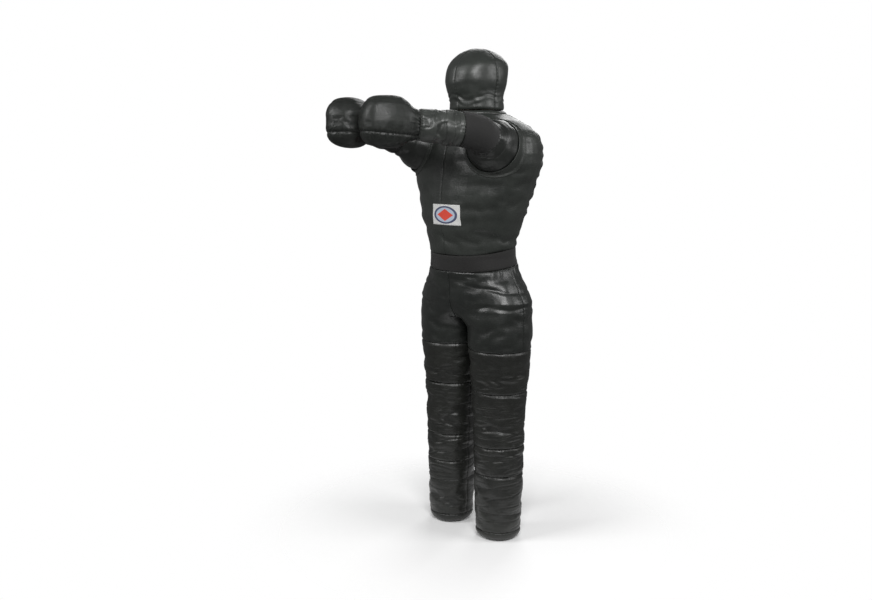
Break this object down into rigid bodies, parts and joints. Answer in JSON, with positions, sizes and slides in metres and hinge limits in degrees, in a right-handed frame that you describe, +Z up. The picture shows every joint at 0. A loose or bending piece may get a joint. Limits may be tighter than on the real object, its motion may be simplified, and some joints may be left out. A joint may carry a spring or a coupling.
{
  "type": "grappling dummy",
  "caption": "Human-size stuffed leather throwing dummy with arms held out in a hug, padded gloves, straight legs, and joints at neck, waist, shoulders, elbows, hips and knees.",
  "frame": {"origin": "on the floor, midway between the soles, under the standing axis of the legs", "axes": "+Z up, the dummy faces -Y, its left hand is on +X"},
  "size_m": [0.56, 0.7635, 1.771],
  "materials": {
    "leather": "semi-gloss black-green leather, creased",
    "band_fabric": "matte woven black fabric",
    "label": "plain white sewn label",
    "stuffing": "packed textile stuffing"
  },
  "bodies": {
    "hips": {"waist_band": "band_fabric", "hip_front_left": "leather", "hip_front_right": "leather", "hip_back_left": "leather", "hip_back_right": "leather", "hip_stuffing": "stuffing"},
    "torso": {"neck_band": "leather", "torso_front_left": "leather", "torso_front_right": "leather", "torso_back_left": "leather", "torso_back_right": "leather", "torso_stuffing": "stuffing", "left_armhole_band": "leather", "right_armhole_band": "leather", "label_patch": "label"},
    "head": {"head_front_left": "leather", "head_front_right": "leather", "head_back": "leather", "head_stuffing": "stuffing"},
    "left_upper_arm": {"left_shoulder_sleeve": "leather", "left_upper_arm_stuffing": "stuffing", "left_elbow_stuffing": "stuffing"},
    "left_forearm": {"left_elbow_band": "band_fabric", "left_forearm_cover": "leather", "left_forearm_stuffing": "stuffing", "left_glove_back": "leather", "left_glove_palm": "leather", "left_glove_stuffing": "stuffing"},
    "left_thigh": {"left_thigh_cover": "leather", "left_thigh_stuffing": "stuffing", "left_knee_stuffing": "stuffing"},
    "left_shin": {"left_knee_sleeve": "leather", "left_shin_cover": "leather", "left_ankle_cover": "leather", "left_shin_stuffing": "stuffing", "left_sole_cap": "leather"},
    "right_upper_arm": {"right_shoulder_sleeve": "leather", "right_upper_arm_stuffing": "stuffing", "right_elbow_stuffing": "stuffing"},
    "right_forearm": {"right_elbow_band": "band_fabric", "right_forearm_cover": "leather", "right_forearm_stuffing": "stuffing", "right_glove_back": "leather", "right_glove_palm": "leather", "right_glove_stuffing": "stuffing"},
    "right_thigh": {"right_thigh_cover": "leather", "right_thigh_stuffing": "stuffing", "right_knee_stuffing": "stuffing"},
    "right_shin": {"right_knee_sleeve": "leather", "right_shin_cover": "leather", "right_ankle_cover": "leather", "right_shin_stuffing": "stuffing", "right_sole_cap": "leather"}
  },
  "joints": [
    {"name": "waist_bend", "type": "hinge", "parent": "hips", "child": "torso", "pos_m": [0, 0, 1.037], "axis": [1, 0, 0], "range_deg": [-15, 42], "deforming": ["waist_band", "torso_front_left", "torso_front_right", "torso_back_left", "torso_back_right"]},
    {"name": "neck_nod", "type": "hinge", "parent": "torso", "child": "head", "pos_m": [0, 0, 1.568], "axis": [1, 0, 0], "range_deg": [-24, 24], "deforming": ["neck_band", "head_front_left", "head_front_right", "head_back"]},
    {"name": "left_shoulder_raise", "type": "hinge", "parent": "torso", "child": "left_upper_arm", "pos_m": [0.164, -0.06125, 1.41431], "axis": [-1, 0, 0], "range_deg": [-30, 30], "deforming": ["left_shoulder_sleeve", "left_armhole_band"]},
    {"name": "left_elbow_bend", "type": "hinge", "parent": "left_upper_arm", "child": "left_forearm", "pos_m": [0.22083, -0.23127, 1.47457], "axis": [0.2848, -0.2342, -0.9295], "range_deg": [-42, 2], "deforming": ["left_elbow_band"]},
    {"name": "left_hip_flex", "type": "hinge", "parent": "hips", "child": "left_thigh", "pos_m": [0.125, 0, 0.891], "axis": [-1, 0, 0], "range_deg": [-18, 74], "deforming": ["hip_front_left", "hip_back_left"]},
    {"name": "left_knee_bend", "type": "hinge", "parent": "left_thigh", "child": "left_shin", "pos_m": [0.125, 0, 0.455], "axis": [1, 0, 0], "range_deg": [0, 85], "deforming": ["left_knee_sleeve"]},
    {"name": "right_shoulder_raise", "type": "hinge", "parent": "torso", "child": "right_upper_arm", "pos_m": [-0.164, -0.06125, 1.41431], "axis": [-1, 0, 0], "range_deg": [-30, 30], "deforming": ["right_shoulder_sleeve", "right_armhole_band"]},
    {"name": "right_elbow_bend", "type": "hinge", "parent": "right_upper_arm", "child": "right_forearm", "pos_m": [-0.22083, -0.23127, 1.47457], "axis": [0.2848, 0.2342, 0.9295], "range_deg": [-42, 2], "deforming": ["right_elbow_band"]},
    {"name": "right_hip_flex", "type": "hinge", "parent": "hips", "child": "right_thigh", "pos_m": [-0.125, 0, 0.891], "axis": [-1, 0, 0], "range_deg": [-18, 74], "deforming": ["hip_front_right", "hip_back_right"]},
    {"name": "right_knee_bend", "type": "hinge", "parent": "right_thigh", "child": "right_shin", "pos_m": [-0.125, 0, 0.455], "axis": [1, 0, 0], "range_deg": [0, 85], "deforming": ["right_knee_sleeve"]}
  ]
}
